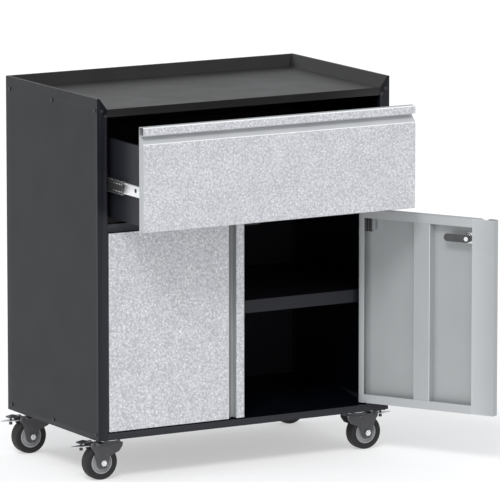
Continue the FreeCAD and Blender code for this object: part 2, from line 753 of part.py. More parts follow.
def caster(prefix, side, along):
    """One swivel caster. The pedal always points outwards."""
    def stand(thing, label, offset_along="0", offset_up="0"):
        """Place a piece, and turn it half round on the left side."""
        thing.Placement = FreeCAD.Placement(Vector(), Rotation(Vector(0, 0, 1), 0 if side == RIGHT else 180))
        bind(thing, "Placement.Base.x", f"{side} * (swivel_across + {offset_along})")
        bind(thing, "Placement.Base.y", along)
        bind(thing, "Placement.Base.z", offset_up)
        return keep(thing, f"{prefix}_{label}")

    centre = {"x": "0", "y": "0"}
    plate = join(
        f"{prefix}_top",
        box(f"{prefix}_plate_sheet", across("plate_length / 2"), across("plate_width / 2"),
            ("plate_bottom", "floor_gap")),
        rod(f"{prefix}_upper_race", "crown_diameter - 3 * race_step",
            z=("race_split + running_gap", "plate_bottom"), **centre),
        rod(f"{prefix}_kingpin", "kingpin", z=("crown_bottom - kingpin_head_height", "plate_bottom"),
            **centre),
        rod(f"{prefix}_kingpin_head", "kingpin_head",
            z=("crown_bottom - running_gap - kingpin_head_height", "crown_bottom - running_gap"), **centre),
    )
    through_plate = ("plate_bottom - skin", "floor_gap + skin")
    bolt_holes = [rod(f"{prefix}_bolt_hole", "bolt_diameter + bolt_play", x, y, through_plate)
                  for x, y in BOLT_SPOTS]
    stand(cut(f"{prefix}_caster_plate", plate, *bolt_holes), "caster_plate")

    leg_outline = [
        ("-crown_diameter / 2", "crown_top"), ("-crown_diameter / 2 + 1", "crown_bottom - 6"),
        ("-crown_diameter / 2 + 9", "crown_bottom - 17"), ("trail - 17", "axle_up + 13"),
        ("trail - 14", "axle_up"), ("trail + 14", "axle_up"), ("trail + 17", "axle_up + 14"),
        ("trail + 22", "axle_up + 27"), ("trail + 28", "crown_bottom - 4"),
        ("trail + 28", "crown_top + 4"), ("trail + 12", "crown_top + 4"), ("trail + 8", "crown_top"),
    ]
    crown_parts = [
        rod(f"{prefix}_crown_disc", "crown_diameter", z=("crown_bottom", "crown_top"), **centre),
        box(f"{prefix}_crown_bridge", ("0", "trail + 8"), across("leg_outer"), ("crown_bottom", "crown_top")),
        rod(f"{prefix}_lower_race", "crown_diameter - race_step", z=("crown_top", "race_split"), **centre),
    ]
    for flank, span in (("near", ("-(leg_outer)", "-(leg_inner)")), ("far", ("leg_inner", "leg_outer"))):
        crown_parts.append(extrusion(f"{prefix}_{flank}_leg", "y", leg_outline, span))
        crown_parts.append(rod(f"{prefix}_{flank}_boss", "fork_boss", "trail", span, "axle_up"))
    fork = cut(
        f"{prefix}_fork",
        join(f"{prefix}_fork_body", *crown_parts),
        rod(f"{prefix}_king_hole", "kingpin + pin_play", z=("crown_bottom - skin", "race_split + skin"),
            **centre),
        rod(f"{prefix}_axle_hole", "axle_diameter", "trail", across("leg_outer + skin"), "axle_up"),
        rod(f"{prefix}_pedal_hole", "pedal_pin + pin_play", "pedal_across", across("leg_outer + skin"),
            "pedal_up"),
    )
    stand(fork, "fork")

    axle = join(
        f"{prefix}_axle",
        rod(f"{prefix}_axle_bar", "axle_diameter", "trail", across("leg_outer + axle_end"), "axle_up"),
        hexagon(f"{prefix}_axle_head", "axle_corners", "trail",
                ("-(leg_outer + axle_nut_height)", "-(leg_outer)"), "axle_up"),
        hexagon(f"{prefix}_axle_nut", "axle_corners", "trail", ("leg_outer", "leg_outer + axle_nut_height"),
                "axle_up"),
    )
    stand(axle, "axle")

    bore = "(axle_diameter + pin_play) / 2"
    boss = "leg_inner - running_gap"
    hub = turning(f"{prefix}_hub", [
        (bore, f"-({boss})"), ("9", f"-({boss})"), ("10", "-8"), ("hub_diameter / 2 - 4", "-8"),
        ("hub_diameter / 2 - 3", "-10.5"), ("hub_diameter / 2", "-10.5"), ("hub_diameter / 2", "10.5"),
        ("hub_diameter / 2 - 3", "10.5"), ("hub_diameter / 2 - 4", "8"), ("10", "8"), ("9", boss),
        (bore, boss),
    ])
    stand(hub, "hub", "trail", "axle_up")

    half_tread = "wheel_width / 2"
    tyre = turning(f"{prefix}_tyre", [
        ("hub_diameter / 2", "-10.5"), ("hub_diameter / 2 + 2", f"-({half_tread} - 0.5)"),
        ("wheel_diameter / 2 - 5", f"-({half_tread})"), ("wheel_diameter / 2 - 1.5", f"-({half_tread} - 2)"),
        ("wheel_diameter / 2", f"-({half_tread} - 6)"), ("wheel_diameter / 2", f"{half_tread} - 6"),
        ("wheel_diameter / 2 - 1.5", f"{half_tread} - 2"), ("wheel_diameter / 2 - 5", half_tread),
        ("hub_diameter / 2 + 2", f"{half_tread} - 0.5"), ("hub_diameter / 2", "10.5"),
    ])
    stand(tyre, "tyre", "trail", "axle_up")

    stem = {"x": "pedal_across + stem_reach", "y": "0"}
    lobe = extrusion(f"{prefix}_pedal_lobe", "y", [
        ("pedal_across - 3", "pedal_up + 3"), ("pedal_across + 4", "pedal_up + 6"),
        ("pedal_across + 16", "pedal_up + 8"), ("pedal_tip - 20", "pedal_up + 5.5"),
        ("pedal_tip - 19", "pedal_up + 3"), ("pedal_across + 16", "pedal_up + 4.5"),
        ("pedal_across + 4", "pedal_up - 2"),
    ], across("pedal_width / 2"))
    pedal = join(
        f"{prefix}_pedal", lobe,
        rod(f"{prefix}_pedal_barrel_body", "pedal_barrel", "pedal_across", across("leg_inner - running_gap"),
            "pedal_up"),
        rod(f"{prefix}_pedal_pivot", "pedal_pin", "pedal_across", across("leg_outer + skin"), "pedal_up"),
        rod(f"{prefix}_pedal_stem", "pedal_pin", z=("pedal_up - 7", "pedal_up + 5"), **stem),
        rod(f"{prefix}_pedal_knob", "pedal_knob", z=("pedal_up - 12", "pedal_up - 6"), **stem),
    )
    stand(pedal, "pedal")

    pointed = extrusion(f"{prefix}_pointed", "z", [
        ("pedal_across + 6", "-pedal_width / 2"), ("pedal_tip - 22", "-pedal_width / 2 + 1"),
        ("pedal_tip", "-1.5"), ("pedal_tip", "1.5"), ("pedal_tip - 22", "pedal_width / 2 - 1"),
        ("pedal_across + 6", "pedal_width / 2"),
    ], ("pedal_up - 4", "pedal_up - 4 + brake_plate_sheet"))
    stem_hole = rod(f"{prefix}_stem_hole", "pedal_pin", z=("pedal_up - 5", "pedal_up - 1"), **stem)
    stand(cut(f"{prefix}_brake_plate", pointed, stem_hole), "brake_plate")


def caster_rail(side, prefix):
    """A channel under the floor, which stiffens it where the caster plates bolt on."""
    ends = ("front + post_return + skin / 2", "back - 3 * skin")
    near, far = "swivel_across - rail_width / 2", "swivel_across + rail_width / 2"
    web = box(f"{prefix}_rail_web", on_side(side, near, far), ends, ("floor_gap", "floor_gap + rail_sheet"))
    walls = [box(f"{prefix}_rail_wall", on_side(side, low, f"{low} + rail_sheet"), ends,
                 ("floor_gap", "floor_top - skin")) for low in (near, f"{far} - rail_sheet")]
    holes = [rod(f"{prefix}_rail_hole", "bolt_diameter + bolt_play", f"{side} * swivel_across + ({x})",
                 f"{along} + ({y})", ("floor_gap - skin", "floor_gap + 2 * rail_sheet"))
             for _, caster_side, along in CASTERS if caster_side == side for x, y in BOLT_SPOTS]
    name = f"{prefix}_caster_rail"
    return keep(cut(name, join(f"{name}_channel", web, *walls), *holes), name)


def caster_bolts():
    bolts = []
    for _, side, along in CASTERS:
        for x, y in BOLT_SPOTS:
            spot = (f"{side} * swivel_across + ({x})", f"{along} + ({y})")
            bolts.append(join(
                "caster_bolt",
                rod("caster_bolt_shank", "bolt_diameter", *spot,
                    ("plate_bottom - bolt_head_height", "floor_gap + bolt_rise")),
                hexagon("caster_bolt_head", "bolt_corners", *spot,
                        ("plate_bottom - bolt_head_height", "plate_bottom")),
                hexagon("caster_bolt_nut", "bolt_corners", *spot,
                        ("floor_gap + rail_sheet", "floor_gap + rail_sheet + bolt_nut_height")),
            ))
    return keep(group("caster_bolts", bolts), "caster_bolts")


# ---------------------------------------------------------------------------------------------------------
# Build, check and write
# ---------------------------------------------------------------------------------------------------------

side_panel(LEFT, "left_side_panel")
side_panel(RIGHT, "right_side_panel")
worktop()
middle_rail()
bottom_panel()
back_panel()
shelf()
shelf_clips()
magnet_catches()
panel_screws()
drawer_front()
drawer_tub()
slides(LEFT, "left_slide")
slides(RIGHT, "right_slide")
door(LEFT, "left_door", lambda thing: thing)
door(RIGHT, "right_door", swing_open)
lock()
for caster_prefix, caster_side, caster_along in CASTERS:
    caster(caster_prefix, caster_side, caster_along)
caster_rail(LEFT, "left")
caster_rail(RIGHT, "right")
caster_bolts()
doc.recompute()

for thing in doc.Objects:
    if {"Invalid", "Error"} & set(thing.State):
        raise RuntimeError(f"{thing.Label} failed: {thing.State}")
for node in nodes:
    if node.Shape.isNull() or not node.Shape.isValid():
        raise RuntimeError(f"{node.Label} has no valid shape")

os.makedirs("parts", exist_ok=True)
for node in nodes:
    node.Shape.exportStep(os.path.join("parts", f"{node.Label}.step"))
print(f"{len(nodes)} sub-parts written")
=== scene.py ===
# %% [markdown]
# # A rolling steel tool cabinet
#
# The cabinet is folded from steel sheet: a dark case with a rimmed worktop, one wide drawer drawn half out,
# a shut left door and an open right door, all on four swivel casters with brakes. The frame already holds
# every part at its true size and knows how each one moves, so this lesson only dresses it: rounded folds,
# embossed silver fronts, rubber, zinc and paint. Everything here is in metres.

import json
import math

import bmesh
import bpy
from mathutils import Matrix, Vector, noise


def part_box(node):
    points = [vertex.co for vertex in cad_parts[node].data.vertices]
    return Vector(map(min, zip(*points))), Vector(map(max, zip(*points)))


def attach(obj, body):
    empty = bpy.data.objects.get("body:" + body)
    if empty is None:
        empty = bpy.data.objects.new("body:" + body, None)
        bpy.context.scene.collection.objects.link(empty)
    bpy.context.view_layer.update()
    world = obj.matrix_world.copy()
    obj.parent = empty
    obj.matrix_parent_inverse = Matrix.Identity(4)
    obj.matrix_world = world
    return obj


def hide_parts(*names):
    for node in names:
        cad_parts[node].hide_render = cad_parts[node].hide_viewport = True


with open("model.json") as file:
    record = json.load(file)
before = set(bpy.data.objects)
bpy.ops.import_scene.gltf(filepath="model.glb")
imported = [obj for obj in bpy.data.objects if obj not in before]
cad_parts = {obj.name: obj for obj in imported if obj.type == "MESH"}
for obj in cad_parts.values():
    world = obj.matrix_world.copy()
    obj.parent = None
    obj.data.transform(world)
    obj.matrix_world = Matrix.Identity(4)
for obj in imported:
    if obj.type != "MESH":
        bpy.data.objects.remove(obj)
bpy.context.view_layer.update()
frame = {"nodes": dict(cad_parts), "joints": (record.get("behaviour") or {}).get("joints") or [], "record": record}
MM = 0.001
slot_of = {part["node"]: part["material_slot"] for part in frame["record"]["subparts"]}
body_of = {node: body for body, nodes in frame["record"]["behaviour"]["bodies"].items() for node in nodes}
joint_of = {joint["name"]: joint for joint in frame["joints"]}

# %% [markdown]
# ## Where the viewer stands
#
# A catalogue picture of furniture is taken from far away with a long lens, so that upright edges stay
# upright and the far side is hardly smaller than the near one. The camera here turns about a point near the
# middle of the cabinet: it stands round to the left of the front and looks slightly down.

# %% Camera
CAMERA_YAW = math.radians(29.9)
CAMERA_PITCH = math.radians(9.57)
CAMERA_DISTANCE = 12.784
CAMERA_AIM = Vector((0.1309, 0.0, 0.4555))
LENS = 420.7

looking = Vector((
    math.sin(CAMERA_YAW) * math.cos(CAMERA_PITCH),
    math.cos(CAMERA_YAW) * math.cos(CAMERA_PITCH),
    -math.sin(CAMERA_PITCH),
))
camera = bpy.data.objects.new("camera", bpy.data.cameras.new("camera"))
camera.data.lens = LENS
camera.data.sensor_width = 36
camera.data.clip_end = 100
camera.location = CAMERA_AIM - looking * CAMERA_DISTANCE
camera.rotation_euler = looking.to_track_quat("-Z", "Y").to_euler()
bpy.context.collection.objects.link(camera)
bpy.context.scene.camera = camera
print("camera at", [round(c, 3) for c in camera.location])

# %% [markdown]
# ## Floor and light
#
# The floor is one large pale sheet, so it fills the view behind the cabinet too. It glows a little, like a
# light table, which keeps the shadow on it soft.

# %% Floor
FLOOR_SIZE = 90
FLOOR_GLOW = 0.45

floor_material = bpy.data.materials.new("studio_floor")
floor_material.use_nodes = True
floor_shader = floor_material.node_tree.nodes["Principled BSDF"]
floor_shader.inputs["Base Color"].default_value = (0.56, 0.56, 0.565, 1)
floor_shader.inputs["Roughness"].default_value = 0.9
floor_shader.inputs["Specular IOR Level"].default_value = 0.1
floor_shader.inputs["Emission Color"].default_value = (1, 1, 1, 1)
floor_shader.inputs["Emission Strength"].default_value = FLOOR_GLOW

bpy.ops.mesh.primitive_plane_add(size=FLOOR_SIZE)
floor = bpy.context.object
floor.name = "studio_floor"
floor.data.materials.append(floor_material)
print("floor of", FLOOR_SIZE, "metres, glow", FLOOR_GLOW)

# %% [markdown]
# ### Sky
#
# The sky is a white studio whose left wall is nearer than the right one: its light comes from everywhere,
# but more of it from the left, and that is what tells the planes of a plain box apart. The strength of the
# light follows how far a direction leans towards the bright side.

# %% Sky
SKY_DIM, SKY_BRIGHT = 0.46, 1.02
BRIGHT_SIDE = Vector((-0.92, -0.25, 0.30)).normalized()

world = bpy.data.worlds.new("studio")
bpy.context.scene.world = world
world.use_nodes = True
sky = world.node_tree.nodes["Background"]
sky.inputs["Color"].default_value = (0.97, 0.985, 1.0, 1)
outward = world.node_tree.nodes.new("ShaderNodeTexCoord").outputs["Generated"]
leaning = world.node_tree.nodes.new("ShaderNodeVectorMath")
leaning.operation = "DOT_PRODUCT"
leaning.inputs[1].default_value = BRIGHT_SIDE
world.node_tree.links.new(outward, leaning.inputs[0])
brightness = world.node_tree.nodes.new("ShaderNodeMapRange")
brightness.inputs["From Min"].default_value = -1
brightness.inputs["To Min"].default_value = SKY_DIM
brightness.inputs["To Max"].default_value = SKY_BRIGHT
world.node_tree.links.new(leaning.outputs["Value"], brightness.inputs["Value"])
world.node_tree.links.new(brightness.outputs["Result"], sky.inputs["Strength"])
print("sky strength from", SKY_DIM, "to", SKY_BRIGHT)

# %% [markdown]
# ### Lamps
#
# Two broad lamps far away add direction: one high in front on the left, which brings out the embossing, and
# a weaker one from the right, so that no side is left dead.

# %% Lamps
def lamp(name, direction, energy, breadth):
    """A broad lamp so far away that it lights floor and cabinet evenly."""
    light = bpy.data.lights.new(name, "SUN")
    light.energy = energy
    light.angle = math.radians(breadth)
    holder = bpy.data.objects.new(name, light)
    holder.rotation_euler = Vector(direction).to_track_quat("-Z", "Y").to_euler()
    bpy.context.collection.objects.link(holder)


lamp("key_lamp", (0.52, 0.60, -0.80), 1.45, 16)
lamp("side_lamp", (-0.80, 0.25, -0.45), 0.14, 45)
bpy.context.scene.view_settings.view_transform = "Standard"

# %% [markdown]
# ## Finishes
#
# A finish in Blender is a tree of nodes. Every finish here needs the same three: a soft random pattern, a
# stretch of that pattern between two numbers, and a mix of two colours. Each gets a small helper.

# %% Patterns, ranges and mixes
USUAL_RANGE = (0.3, 0.7)


def link(tree, source, target):
    tree.links.new(source, target)


def noise_of(tree, coordinates, size, detail=2.0):
    """A soft random pattern whose patches are about `size` metres across."""
    pattern = tree.nodes.new("ShaderNodeTexNoise")
    pattern.inputs["Scale"].default_value = 1 / size
    pattern.inputs["Detail"].default_value = detail
    link(tree, coordinates, pattern.inputs["Vector"])
    return pattern.outputs["Fac"]


def spread(tree, value, low, high, usual=USUAL_RANGE):
    """The usual range of a pattern stretched between two numbers."""
    change = tree.nodes.new("ShaderNodeMapRange")
    change.inputs["From Min"].default_value = usual[0]
    change.inputs["From Max"].default_value = usual[1]
    change.inputs["To Min"].default_value = low
    change.inputs["To Max"].default_value = high
    link(tree, value, change.inputs["Value"])
    return change.outputs["Result"]


def mixed(tree, factor, first, second):
    """A colour between two, each given as numbers or as another colour in the tree."""
    mix = tree.nodes.new("ShaderNodeMix")
    mix.data_type = "RGBA"
    link(tree, factor, mix.inputs["Factor"])
    for name, colour in (("A", first), ("B", second)):
        socket = next(s for s in mix.inputs if s.name == name and s.type == "RGBA")
        if isinstance(colour, tuple):
            socket.default_value = (*colour, 1)
        else:
            link(tree, colour, socket)
    return next(s for s in mix.outputs if s.type == "RGBA")


print("patterns usually lie between", *USUAL_RANGE)

# %% [markdown]
# ### One recipe
#
# Nearly everything on the cabinet is paint, plating or moulded plastic. Each is the same recipe with different
# numbers: a fine grain that bends the light, a slow mottle that shifts colour and gloss a little, and edges made
# lighter, partly as rubbed wear and partly as a painted highlight. All patterns are worked out from the object's
# own coordinates, so they stay on the steel when a door swings.

# %% The recipe for a finish
COAT_ROUGHNESS = 0.25
EDGE_WEAR_AND_HIGHLIGHT = (0.53, 0.62)
WEAR_AND_HIGHLIGHT_SHARE = 0.6
GRAIN_SHARE = 0.35
SMEAR_RANGE = (0.4, 0.95)


def finish(name, dark, light, gloss, grain, height, metal=0.0, mottle=0.09, wear_and_highlight=None, coat=0.0, ior=1.5):
    """Paint, plating or plastic. gloss is a pair of roughnesses, grain and height are in metres."""
    material = bpy.data.materials.new(name)
    material.use_nodes = True
    tree = material.node_tree
    shader = tree.nodes["Principled BSDF"]
    shader.inputs["Metallic"].default_value = metal
    shader.inputs["IOR"].default_value = ior
    shader.inputs["Coat Weight"].default_value = coat
    shader.inputs["Coat Roughness"].default_value = COAT_ROUGHNESS
    place = tree.nodes.new("ShaderNodeTexCoord").outputs["Object"]
    clouds = noise_of(tree, place, mottle, detail=3)
    colour = mixed(tree, spread(tree, clouds, 0, 1), dark, light)
    # Edges lighter where they are pointed: partly rubbed wear, partly a painted highlight.
    if wear_and_highlight:
        pointed = tree.nodes.new("ShaderNodeNewGeometry").outputs["Pointiness"]
        colour = mixed(tree, spread(tree, pointed, 0, WEAR_AND_HIGHLIGHT_SHARE, EDGE_WEAR_AND_HIGHLIGHT), colour, wear_and_highlight)
    link(tree, colour, shader.inputs["Base Color"])
    fine = noise_of(tree, place, grain)
    smear = tree.nodes.new("ShaderNodeMath")
    smear.operation = "MULTIPLY_ADD"
    link(tree, fine, smear.inputs[0])
    smear.inputs[1].default_value = GRAIN_SHARE
    link(tree, clouds, smear.inputs[2])
    link(tree, spread(tree, smear.outputs[0], *gloss, SMEAR_RANGE), shader.inputs["Roughness"])
    bump = tree.nodes.new("ShaderNodeBump")
    bump.inputs["Distance"].default_value = height
    link(tree, fine, bump.inputs["Height"])
    link(tree, bump.outputs["Normal"], shader.inputs["Normal"])
    return material


print("grain counts", GRAIN_SHARE, "times as much as mottle in the gloss")

# %% [markdown]
# ### The painted steels
#
# The case has a dark graphite powder coat: baked plastic powder, satin, with a grain finer than a millimetre. The
# worktop has a slightly lighter copy of it, as painted light. The doors are smooth silver inside and in their
# grooves, the drawer's groove is painted a shade lighter against the shade of the strip above it, and along the
# sharp folds a bright line is a painted highlight. Forks and pedals are painted too. One recipe serves them all,
# so only colour, gloss and grain are given here.

# %% Paints
paints = {
    "graphite_powder_coat": finish(
        "graphite_powder_coat", (0.0008, 0.0016, 0.0042), (0.0018, 0.0026, 0.0052), (0.30, 0.40),
        grain=0.8 * MM, height=0.04 * MM, wear_and_highlight=(0.05, 0.05, 0.06), ior=1.31),
    # A lighter copy of the graphite coat, as painted light on the worktop.
    "graphite_lit_top": finish(
        "graphite_lit_top", (0.0110, 0.0108, 0.0110), (0.0145, 0.0142, 0.0143), (0.28, 0.38),
        grain=0.8 * MM, height=0.04 * MM, wear_and_highlight=(0.06, 0.06, 0.07), ior=1.34),
    "silver_powder_coat": finish(
        "silver_powder_coat", (0.345, 0.36, 0.365), (0.375, 0.39, 0.395), (0.34, 0.48),
        grain=0.9 * MM, height=0.03 * MM, metal=0.25, wear_and_highlight=(0.62, 0.63, 0.65)),
    # A lighter copy of the silver coat for the drawer's groove, as painted light against the shade of the strip
    # above.
    "silver_groove_lit": finish(
        "silver_groove_lit", (0.52, 0.53, 0.545), (0.56, 0.57, 0.585), (0.34, 0.48),
        grain=0.9 * MM, height=0.03 * MM, metal=0.25),
    # A bright line along sharp folds, as a painted highlight.
    "silver_fold_highlight": finish(
        "silver_fold_highlight", (0.86, 0.87, 0.88), (0.92, 0.93, 0.94), (0.24, 0.36),
        grain=0.9 * MM, height=0.02 * MM, metal=0.25),
    "fork_paint": finish(
        "fork_paint", (0.055, 0.055, 0.058), (0.075, 0.075, 0.08), (0.30, 0.45),
        grain=0.7 * MM, height=0.03 * MM, metal=0.3, mottle=0.02, wear_and_highlight=(0.45, 0.45, 0.47)),
    "pedal_paint": finish(
        "pedal_paint", (0.012, 0.012, 0.013), (0.018, 0.018, 0.02), (0.22, 0.36),
        grain=0.8 * MM, height=0.03 * MM, mottle=0.02, wear_and_highlight=(0.12, 0.12, 0.12), coat=0.3),
    "black_hardware": finish(
        "black_hardware", (0.012, 0.012, 0.013), (0.02, 0.02, 0.021), (0.28, 0.42),
        grain=0.6 * MM, height=0.02 * MM, mottle=0.01, wear_and_highlight=(0.14, 0.14, 0.15)),
}
print("paints:", sorted(paints))

# %% [markdown]
# ### The embossed silver
#
# The broad faces of the fronts are embossed and catch the light in countless small points. The relief itself comes
# later, in the mesh. This paint adds painted light on top of it: cells some five millimetres across with painted
# shade towards their rims, and smaller painted glints between them.

# %% Hammered silver paint
SPARKLE_CELL = 5.5 * MM
RIM_SHADE, RIM_RANGE = 0.62, (0.25, 0.75)
GLINT_PATCH = 3.6 * MM
GLINT, GLINT_RANGE = 0.7, (0.56, 0.72)


def cells_of(material, size):
    """The parts of a finish that a second pattern needs, with a field of cells `size` metres across."""
    tree = material.node_tree
    place = next(n for n in tree.nodes if n.type == "TEX_COORD").outputs["Object"]
    cells = tree.nodes.new("ShaderNodeTexVoronoi")
    cells.inputs["Scale"].default_value = 1 / size
    link(tree, place, cells.inputs["Vector"])
    surface = tree.nodes["Principled BSDF"].inputs["Base Color"]
    return tree, place, cells.outputs, surface


def hammered_silver():
    material = finish(
        "silver_hammer_coat", (0.55, 0.555, 0.59), (0.64, 0.645, 0.67), (0.30, 0.46),
        grain=1.3 * MM, height=0.10 * MM, metal=0.3, mottle=0.05, wear_and_highlight=(0.80, 0.81, 0.84))
    tree, place, cells, surface = cells_of(material, SPARKLE_CELL)
    painted = surface.links[0].from_socket
    # Painted shade towards the rim of each cell, then painted glints between the cells.
    shade = spread(tree, cells["Distance"], 0, RIM_SHADE, RIM_RANGE)
    rim_shaded = mixed(tree, shade, painted, (0.34, 0.345, 0.37))
    glints = spread(tree, noise_of(tree, place, GLINT_PATCH, detail=1), 0, GLINT, GLINT_RANGE)
    link(tree, mixed(tree, glints, rim_shaded, (0.90, 0.90, 0.93)), surface)
    return material


paints["silver_hammer_coat"] = hammered_silver()
print("sparkle cells of", round(SPARKLE_CELL / MM, 1), "mm on the silver fronts")

# %% [markdown]
# ### Bare metal
#
# Slides, caster plates and bolts are zinc plated. Zinc dries in patches called spangle, so the plating has flat
# cells of slightly different brightness. The slide member on the drawer gets a lighter, less metallic copy of the
# zinc as a painted highlight, while the one that runs in the ball race is painted dark as painted shade, with zinc
# on its edges as painted glints. The wheel nuts and the lock are polished chrome.

# %% Zinc and chrome
SPANGLE = 4 * MM
SPANGLE_SHADE, SPANGLE_RANGE = 0.25, (0.2, 0.8)


def zinc():
    material = finish(
        "zinc_plate", (0.66, 0.67, 0.68), (0.80, 0.81, 0.83), (0.22, 0.38),
        grain=1.5 * MM, height=0.02 * MM, metal=0.8, mottle=0.012)
    tree, _, cells, surface = cells_of(material, SPANGLE)
    plated = surface.links[0].from_socket
    shade = spread(tree, cells["Color"], 0, SPANGLE_SHADE, SPANGLE_RANGE)
    link(tree, mixed(tree, shade, plated, (0.55, 0.56, 0.58)), surface)
    return material


paints["zinc_plate"] = zinc()
# A lighter, less metallic copy of zinc, as a painted highlight.
paints["lit_slide_zinc"] = finish(
    "lit_slide_zinc", (0.84, 0.85, 0.86), (0.90, 0.91, 0.92), (0.30, 0.42),
    grain=1.5 * MM, height=0.02 * MM, metal=0.35, mottle=0.02)
# A dark copy of the slide steel, as painted shade, with lighter edges as painted glints.
paints["shaded_slide_steel"] = finish(
    "shaded_slide_steel", (0.012, 0.012, 0.012), (0.07, 0.07, 0.07), (0.18, 0.36),
    grain=1.2 * MM, height=0.05 * MM, metal=0.7, mottle=4 * MM, wear_and_highlight=(0.55, 0.55, 0.57))
paints["bright_chrome"] = finish(
    "bright_chrome", (0.72, 0.73, 0.74), (0.80, 0.81, 0.82), (0.06, 0.14),
    grain=2 * MM, height=0.01 * MM, metal=1.0, mottle=0.01)
print("metals: zinc_plate, lit_slide_zinc, shaded_slide_steel, bright_chrome")

# %% [markdown]
# ### Rubber and plastic
#
# The tyres are matt black rubber. The hubs are grey nylon, which is smoother and takes a soft shine.
# Catches, ball cages and the screws of the case are plain black.

# %% Rubber and plastic
paints["tyre_rubber"] = finish(
    "tyre_rubber", (0.006, 0.006, 0.007), (0.012, 0.012, 0.013), (0.58, 0.80),
    grain=1.0 * MM, height=0.08 * MM, mottle=0.01)
paints["hub_plastic"] = finish(
    "hub_plastic", (0.24, 0.24, 0.25), (0.29, 0.29, 0.30), (0.34, 0.50),
    grain=1.0 * MM, height=0.03 * MM, mottle=0.015, wear_and_highlight=(0.36, 0.36, 0.37))
paints["black_plastic"] = finish(
    "black_plastic", (0.014, 0.014, 0.014), (0.02, 0.02, 0.02), (0.40, 0.55),
    grain=0.7 * MM, height=0.03 * MM, mottle=0.01)
print(len(paints), "finishes for", len(set(slot_of.values())), "slots")

# %% [markdown]
# ## Putting a piece in place
#
# Each piece gets its mesh, its finish, the body that it moves with and the frame node that it stands for.
# Doing this in one helper keeps the cells below about shape alone. Faces are smooth, except across edges
# sharper than a limit, so that folds keep their crisp corners.

# %% Pieces
SMOOTH_LIMIT = 32
made = {}


def put(name, mesh, nodes, materials=None, smooth=SMOOTH_LIMIT):
    """Make mesh the piece that stands for these frame nodes."""
    for material in materials or [paints[slot_of[nodes[0]]]]:
        mesh.materials.append(material)
    mesh.shade_smooth()
    mesh.set_sharp_from_angle(angle=math.radians(smooth))
    piece = bpy.data.objects.new(name, mesh)
    bpy.context.collection.objects.link(piece)
    even = piece.modifiers.new("even_shading", "WEIGHTED_NORMAL")
    even.keep_sharp = True
    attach(piece, body_of[nodes[0]])
    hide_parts(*nodes)
    made[name] = len(mesh.polygons)
    return piece


print("smooth across edges of less than", SMOOTH_LIMIT, "degrees")

# %% [markdown]
# ## Folded steel with soft edges
#
# No edge on real sheet metal is perfectly sharp: a fold has a small radius and a cut edge is broken before
# painting. The frame's own shapes are exact but knife-edged, so each one is copied, its flat faces are merged back
# into whole ones, and every edge gets a narrow bevel. That thin band is what catches the light, and on some pieces
# it carries a painted highlight as a finish of its own.

# %% Softening the edges of a node
SAME_POINT = 0.005 * MM
FLAT = math.radians(0.6)
SHARP = math.radians(34)
KEEP_PAINT = -1
SHEET_EDGE = 0.45 * MM
THIN_EDGE = 0.35 * MM
SCREW_EDGE = 0.5 * MM
BLOCK_EDGE = 0.8 * MM


def softened_mesh(node, width, segments=2, fold_paint=KEEP_PAINT):
    """A copy of a node's mesh with its flat faces whole and its sharp edges bevelled."""
    source = frame["nodes"][node]
    shape = bmesh.new()
    shape.from_mesh(source.data)
    bmesh.ops.remove_doubles(shape, verts=shape.verts, dist=SAME_POINT)
    bmesh.ops.dissolve_limit(shape, angle_limit=FLAT, verts=shape.verts, edges=shape.edges)
    sharp = [e for e in shape.edges if e.is_manifold and e.calc_face_angle(0) > SHARP]
    bmesh.ops.bevel(shape, geom=sharp, offset=width, offset_type="OFFSET", segments=segments, profile=0.5,
                    affect="EDGES", clamp_overlap=True, material=fold_paint)
    bmesh.ops.triangulate(shape, faces=[f for f in shape.faces if len(f.verts) > 4])
    mesh = bpy.data.meshes.new(node)
    shape.to_mesh(mesh)
    shape.free()
    return mesh


def soften(nodes, width, segments=2, finishes=None):
    """Dress nodes with soft edges. A second finish, if there is one, goes on the bevels as a painted highlight."""
    coats = [paints[name] for name in finishes] if finishes else None
    for node in nodes:
        mesh = softened_mesh(node, width, segments, 1 if coats and len(coats) > 1 else KEEP_PAINT)
        put("soft_" + node, mesh, [node], coats)
    print({node: made["soft_" + node] for node in nodes})


print("bevels from", round(THIN_EDGE / MM, 2), "to", round(BLOCK_EDGE / MM, 2), "mm wide")

# %% [markdown]
# ### The dark case
#
# The case is two sides, a back, a floor, a rail across the front, a shelf and the worktop tray. All are
# folded from millimetre sheet, so half a millimetre is as wide as the softened edges can be. The drawer tub
# and the rails that carry the casters are folded and painted like the case.

# %% Case, shelf and drawer tub
# The worktop gets the lighter copy of the graphite coat, as painted light.
soften(["worktop"], SHEET_EDGE, finishes=["graphite_lit_top"])
soften(["left_side_panel", "right_side_panel", "middle_rail", "bottom_panel", "back_panel",
        "shelf", "drawer_tub", "left_caster_rail", "right_caster_rail"], SHEET_EDGE)

# %% [markdown]
# ## Embossed fronts
#
# The drawer front and the doors are the face of this cabinet. Each is one sheet folded along its length:
# a hollow strip to hook the fingers behind, a groove with one sloping wall, the broad face, and hems at the
# back. A flat box with a bump texture would look right only from afar, so the sheet is drawn as it is
# bent. First comes a path across the folds. Every corner of the path becomes a small arc, and every point
# also keeps the direction that faces out of the sheet, which gives the sheet its thickness later.

# %% A path with rounded folds
FOLD = 2.1 * MM
TIGHT_FOLD = 0.8 * MM
ARC_STEPS = 4


